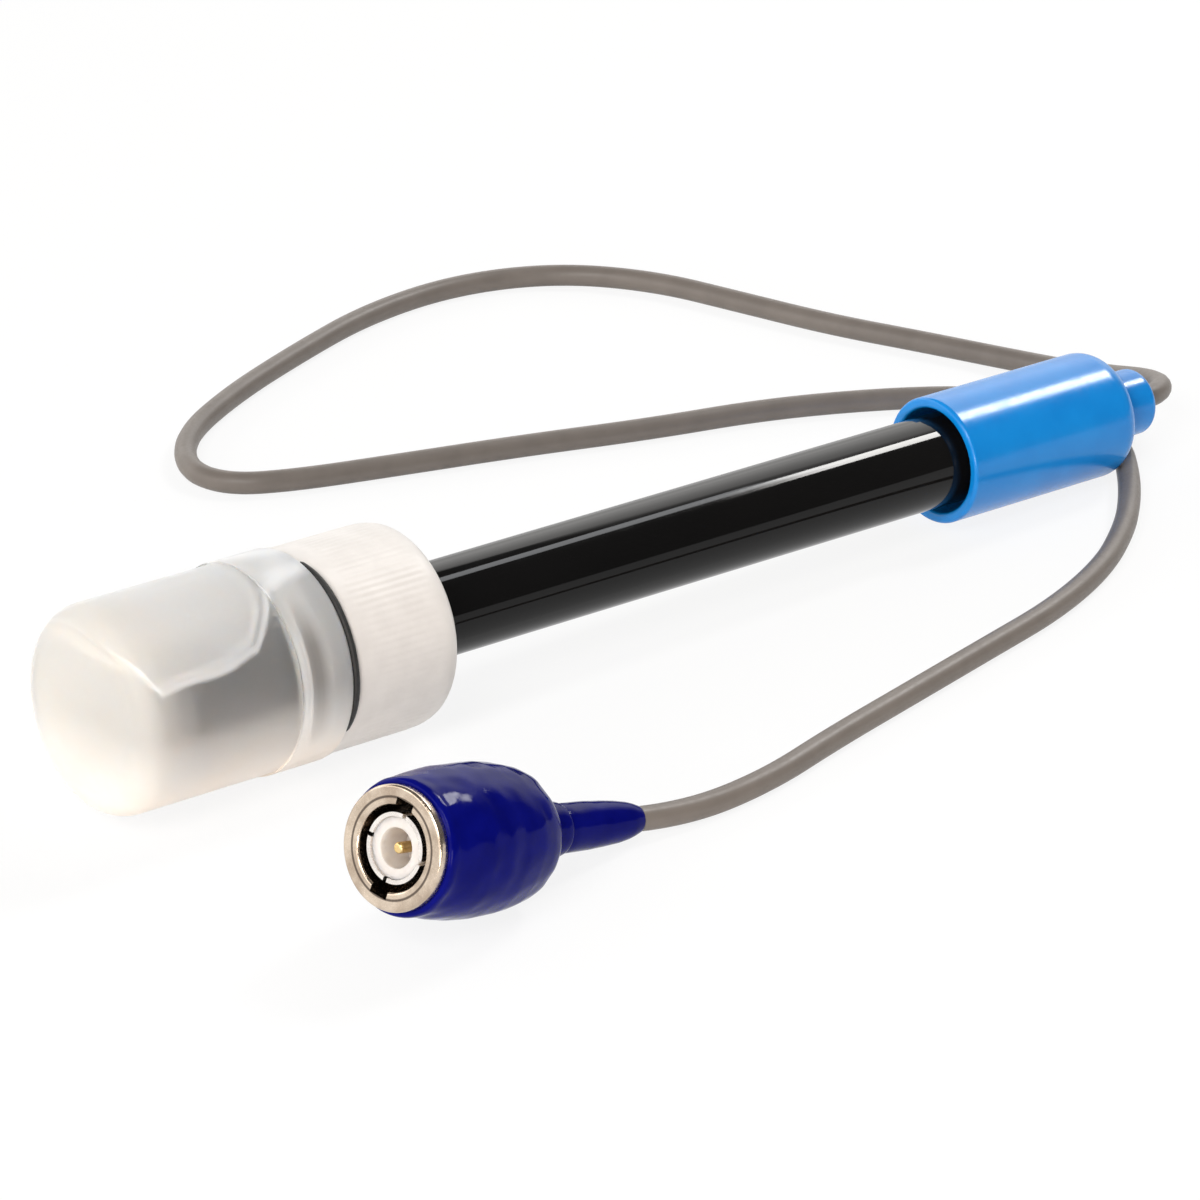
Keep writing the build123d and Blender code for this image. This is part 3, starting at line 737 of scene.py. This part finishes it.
def height_over_liquid(tree, axes, station):
    """Return how high a place is over the liquid, which climbs at the collar and the base."""
    height = add_value(tree, "MULTIPLY_ADD", axes["X"], -LIQUID_RISE, axes["Z"])
    climb = add_ramp(tree, station, 0, 4.0 * MM, 9.0, COLLAR_START)
    ripple = add_range(tree, add_noise(tree, 90, 1), -0.4 * MM, 0.4 * MM)
    dome = add_ramp(tree, station, 5.4 * MM, 0, -8.5, -5.6)
    level = combined(tree, "ADD", climb, ripple, LIQUID_LEVEL * MM, dome)
    return add_value(tree, "SUBTRACT", height, level)


def pale_lines(tree, height, station, past_collar, above):
    """Return how milky the wall is along the liquid's edge and round the collar's rim."""
    edge = combined(
        tree,
        "MULTIPLY",
        add_ramp(tree, add_value(tree, "ABSOLUTE", above), 1, 0, 0.1, 0.65),
        add_ramp(tree, station, 0, 0.75, -8.4, -7.2),
    )
    rim = combined(
        tree,
        "MULTIPLY",
        add_near(tree, past_collar, 0.35, 0.4, 0.85),
        add_ramp(tree, height, 0.9, 0.2, 20, 25),
    )
    return add_value(tree, "MAXIMUM", edge, rim)


def collar_shade(tree, height, past_collar):
    """Return the painted shade on the collar: most in a band beside its rim, over half way up."""
    return combined(
        tree,
        "MULTIPLY",
        add_near(tree, past_collar, 2.1, 0.4, 2.2),
        add_ramp(tree, height, 0, 1, 7, 16),
        add_ramp(tree, height, 1, 0, 20, 25),
    )


def wet_wall(tree, station, past_collar, above):
    """Return 1 where liquid wets the wall between the base and the collar, and 0 elsewhere."""
    wet = add_ramp(tree, above, 1, 0, -0.4, 0.4)
    near_base = add_ramp(tree, station, 0, 1, -9.0, 0.0)
    collar = add_ramp(tree, past_collar, 0, 1, 0.4, 1.0)
    return combined(tree, "MULTIPLY", wet, near_base, add_value(tree, "SUBTRACT", 1, collar))


def add_frosted():
    """Return milky polypropylene: cloudy where dry inside, clearer where the liquid wets it."""
    material, tree, shader = new_material("frosted_plastic")
    place = object_place(tree)
    axes = split_axes(tree, place)
    height = axes["Z"]
    station, _ = station_on(tree, place, PROBE_TIP, PROBE_ALONG)
    past_collar = add_value(tree, "SUBTRACT", station, COLLAR_START * MM)
    above = height_over_liquid(tree, axes, station)

    # Warm and dense low down, where light from the bench comes through, and over the base: the
    # warmth is painted light
    low_down = add_ramp(tree, height, 1, 0, 5.5, 14.5)
    over_base = add_ramp(tree, station, 0.8, 0, -9.5, 0.5)
    cloud = add_range(tree, add_noise(tree, 160, 3), 0, 0.3)
    # Painted light: a warmer tint low down and over the base
    painted_warm_light = add_value(tree, "MAXIMUM", low_down, over_base)
    warmth = add_value(tree, "MULTIPLY_ADD", painted_warm_light, 0.7, cloud)
    tint = add_colour_mix(tree, warmth, MILKY, MILKY_WARM)
    # Painted shade on the collar, mixed into the base colour below
    painted_collar_shade = add_value(tree, "MULTIPLY", collar_shade(tree, height, past_collar), 0.6)
    along_base = add_ramp(tree, station, 0.55, 1, -9, -5)
    dense = add_value(tree, "MULTIPLY", low_down, along_base)

    # Clear where it is wet, less so where it is dense, on the pale lines and at grazing angles
    wet = wet_wall(tree, station, past_collar, above)
    line = pale_lines(tree, height, station, past_collar, above)
    clear = add_range(tree, wet, 0.62, 0.92, 0, 1)
    clear = add_value(tree, "MULTIPLY_ADD", dense, -0.72, clear)
    clear = add_value(tree, "MULTIPLY_ADD", line, -0.7, clear)
    clear = add_value(tree, "MAXIMUM", clear, 0)
    grazing = tree.nodes.new("ShaderNodeLayerWeight")
    feed(tree, grazing.inputs["Blend"], 0.5)
    turned = add_value(tree, "POWER", grazing.outputs["Facing"], 3)
    kept = add_value(tree, "MULTIPLY_ADD", turned, -0.75, 1)

    set_sockets(
        tree,
        shader,
        Base_Color=add_colour_mix(tree, painted_collar_shade, tint, COLLAR_SHADE),
        Roughness=add_range(tree, wet, 0.6, 0.5, 0, 1),
        Normal=add_bump(tree, add_noise(tree, 2500, 2), 0.000004, 0.6),
        IOR=1.4,
        Transmission_Weight=add_value(tree, "MULTIPLY", clear, kept),
        Subsurface_Weight=add_range(tree, dense, 1, 0.15, 0, 1),
        Subsurface_Radius=(1.0, 0.9, 0.8),
        Subsurface_Scale=0.004,
        Sheen_Weight=0.35,
        Sheen_Roughness=0.35,
        Coat_Weight=0.08,
        Coat_Roughness=0.25,
    )
    return material


frosted = add_frosted()

# The nut's face, in millimetres: the radius of the line between its shell and its bayonet ring, and
# the colour of the shade painted there and in the nut's bore
RING_LINE = 5.85
NUT_SHADE = (0.07, 0.05, 0.04)


def add_ring_line(material):
    """Paint shade on a nickel's thin ring on the nut's face, and on the wall of the nut's bore."""
    tree = material.node_tree
    base = tree.nodes["Principled BSDF"].inputs["Base Color"]
    station, way = station_on(tree, object_place(tree), PLUG_FACE, PLUG_ALONG)
    length = add_vector(tree, "LENGTH", way)["Value"]
    length_squared = add_value(tree, "MULTIPLY", length, length)
    station_squared = add_value(tree, "MULTIPLY", station, station)
    radius = add_value(tree, "SQRT", add_value(tree, "SUBTRACT", length_squared, station_squared))
    line = add_value(
        tree,
        "MULTIPLY",
        add_near(tree, radius, RING_LINE, 0.08, 0.2),
        add_ramp(tree, station, 1, 0, 0.3, 0.5),
    )
    bore = add_value(
        tree,
        "MULTIPLY",
        add_ramp(tree, radius, 1, 0, 5.9, 6.1),
        add_ramp(tree, station, 0, 1, 0.3, 1.5),
    )
    # Painted shade on the ring line and on the bore's wall
    painted_shade = add_value(tree, "MULTIPLY", add_value(tree, "MAXIMUM", line, bore), 0.85)
    feed(tree, base, add_colour_mix(tree, painted_shade, base.links[0].from_socket, NUT_SHADE))
    return material


nut_nickel = add_ring_line(moulded(
    "nut_nickel", ((0.5, 0.4, 0.31), (0.74, 0.62, 0.5)), (0.14, 0.28), 380, 0.000006,
    Metallic=1,
))

CAD_MATERIALS = {
    "shaft": black_epoxy,
    "glass_stem": clear_glass,
    "measuring_wire": silver,
    "reference_wire": silver,
    "tip_seal": potting,
    "reference_junction": ceramic,
    "stem_stopper": black_rubber,
    "potting_plug": potting,
    "head_cap": blue_plastic,
    "cable_core": fluoropolymer,
    "shield_lead": copper,
    "vial": frosted,
    "vial_gasket": black_rubber,
    "screw_cap": white_plastic,
    "seal_ring": black_rubber,
    "coupling_nut": nut_nickel,
    "slip_ring": bronze,
    "spring_washer": spring_steel,
    "plug_body": nickel,
    "plug_gasket": black_rubber,
    "insulator": fluoropolymer,
    "centre_pin": gold,
    "plug_core": copper,
    "crimp_ferrule": nickel,
}


def dress(piece, material):
    """Give a piece one material."""
    piece.data.materials.clear()
    piece.data.materials.append(material)


for name, material in CAD_MATERIALS.items():
    dress(nodes[name], material)
dress(cable, grey_jacket)
dress(grip, navy_rubber)
dress(relief, navy_rubber)
dress(thread, frosted)
dress(cap, white_plastic)
dress(gasket, black_rubber)

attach(cable, "electrode")
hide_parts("cable")
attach(grip, "nut")
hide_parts("plug_grip")
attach(relief, "electrode")
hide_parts("strain_relief")
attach(cap, "bottle_cap")
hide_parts("screw_cap")
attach(gasket, "bottle_gasket")
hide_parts("vial_gasket")
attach(thread, "bottle")


# Bench, backdrop and light


def add_white(name, shade):
    """Return a white that the camera, gloss and clear parts see as the background.

    shade is how much of that white comes from the lamps, so that the object's shadow shows."""
    material, tree, shader = new_material(name)
    tone = add_colour_mix(tree, add_noise(tree, 40, 2), (0.88, 0.88, 0.88), (0.9, 0.9, 0.9))
    set_sockets(tree, shader, Base_Color=tone, Roughness=0.9)
    glow = tree.nodes.new("ShaderNodeEmission")
    feed(tree, glow.inputs["Strength"], 1 - shade)
    dim = tree.nodes.new("ShaderNodeBsdfDiffuse")
    feed(tree, dim.inputs["Color"], (shade, shade, shade, 1))
    seen = tree.nodes.new("ShaderNodeAddShader")
    feed(tree, seen.inputs[0], glow.outputs["Emission"])
    feed(tree, seen.inputs[1], dim.outputs["BSDF"])
    rays = tree.nodes.new("ShaderNodeLightPath").outputs
    viewed = combined(
        tree,
        "MAXIMUM",
        rays["Is Camera Ray"],
        rays["Is Glossy Ray"],
        rays["Is Transmission Ray"],
    )
    mix = tree.nodes.new("ShaderNodeMixShader")
    feed(tree, mix.inputs["Fac"], viewed)
    feed(tree, mix.inputs[1], shader.outputs["BSDF"])
    feed(tree, mix.inputs[2], seen.outputs["Shader"])
    feed(tree, tree.nodes["Material Output"].inputs["Surface"], mix.outputs["Shader"])
    return material


# The bench, in metres
BENCH_CENTRE = Vector((0.1, 0.15, 0))
BENCH_RINGS = [0.3, 0.8, 1.6, 3.0]
BENCH_SIDES = 64
BENCH_SHADE = 0.14


def add_bench():
    """Lay a round white bench under the object."""
    points = [BENCH_CENTRE]
    for radius in BENCH_RINGS:
        for side in range(BENCH_SIDES):
            angle = 2 * math.pi * side / BENCH_SIDES
            outwards = Vector((math.cos(angle), math.sin(angle), 0))
            points.append(BENCH_CENTRE + outwards * radius)
    faces = [(0, 1 + side, 1 + (side + 1) % BENCH_SIDES) for side in range(BENCH_SIDES)]
    for face in ring_faces(len(BENCH_RINGS), BENCH_SIDES):
        faces.append(tuple(1 + corner for corner in face))
    return add_mesh("bench", points, faces)


bench = add_bench()
dress(bench, add_white("bench_white", BENCH_SHADE))


def add_lamp(name, place, aim_point, size, power, colour):
    """Hang a rectangular softbox that faces a point; lengths in metres, power in watts."""
    lamp_data = bpy.data.lights.new(name, "AREA")
    lamp_data.shape = "RECTANGLE"
    lamp_data.size, lamp_data.size_y = size
    lamp_data.energy = power
    lamp_data.color = colour
    lamp = bpy.data.objects.new(name, lamp_data)
    scene.collection.objects.link(lamp)
    lamp.location = place
    facing = Vector(aim_point) - Vector(place)
    lamp.rotation_euler = facing.to_track_quat("-Z", "Y").to_euler()


add_lamp(
    "overhead_strip", (0.885, 0.02, 0.86), (0.0, 0.0, 0.0),
    size=(0.24, 0.2), power=4.6, colour=(1, 0.985, 0.96),
)
add_lamp(
    "overhead_dim", (0.61, 0.08, 0.88), (0.02, 0.0, 0.0),
    size=(0.18, 0.26), power=0.9, colour=(0.95, 0.97, 1),
)
add_lamp(
    "left_softbox", (-0.80, -0.45, 0.75), (0.0, 0.0, 0.0),
    size=(0.5, 0.45), power=6.7, colour=(1, 0.98, 0.955),
)
add_lamp(
    "left_low_softbox", (-0.9, -0.1, 0.25), (0.0, 0.0, 0.02),
    size=(0.8, 0.3), power=0.9, colour=(1, 0.95, 0.9),
)
add_lamp(
    "front_low_softbox", (-0.40, -0.40, 0.09), (-0.07, 0.0, 0.012),
    size=(0.3, 0.12), power=1.15, colour=(1, 0.9, 0.8),
)

BACKDROP_DIRECTION = Vector((-0.1, 0.995, 0))
ROOM_LIGHT = 0.17
ROOM_COLOUR = (1, 0.985, 0.965, 1)


def add_studio():
    """Light the scene from a bright backdrop behind the object, with a dim room in front.

    The backdrop's limits are parts of a direction of length 1."""
    world = bpy.data.worlds.new("studio")
    scene.world = world
    world.use_nodes = True
    tree = world.node_tree
    sky = tree.nodes["Background"]
    direction = tree.nodes.new("ShaderNodeTexCoord").outputs["Generated"]
    axes = split_axes(tree, direction)
    rise = add_range(tree, axes["X"], 0, 0.2, 0.55, 0.63)
    under_top = add_range(tree, add_value(tree, "SUBTRACT", axes["Z"], rise), 1, 0, 0.51, 0.55)
    behind = add_vector(tree, "DOT_PRODUCT", direction, BACKDROP_DIRECTION)["Value"]
    in_backdrop = add_range(tree, behind, 0, 1, -0.12, 0.2)
    brightness = add_range(tree, axes["Z"], 0.95, 2.2, 0.15, 0.4)
    backdrop = combined(tree, "MULTIPLY", under_top, in_backdrop, brightness)
    strength = add_value(tree, "ADD", backdrop, ROOM_LIGHT)
    rays = tree.nodes.new("ShaderNodeLightPath").outputs
    seen = add_value(tree, "MAXIMUM", rays["Is Camera Ray"], rays["Is Transmission Ray"])
    feed(tree, sky.inputs["Strength"], add_value(tree, "MAXIMUM", strength, seen))
    feed(tree, sky.inputs["Color"], ROOM_COLOUR)


add_studio()
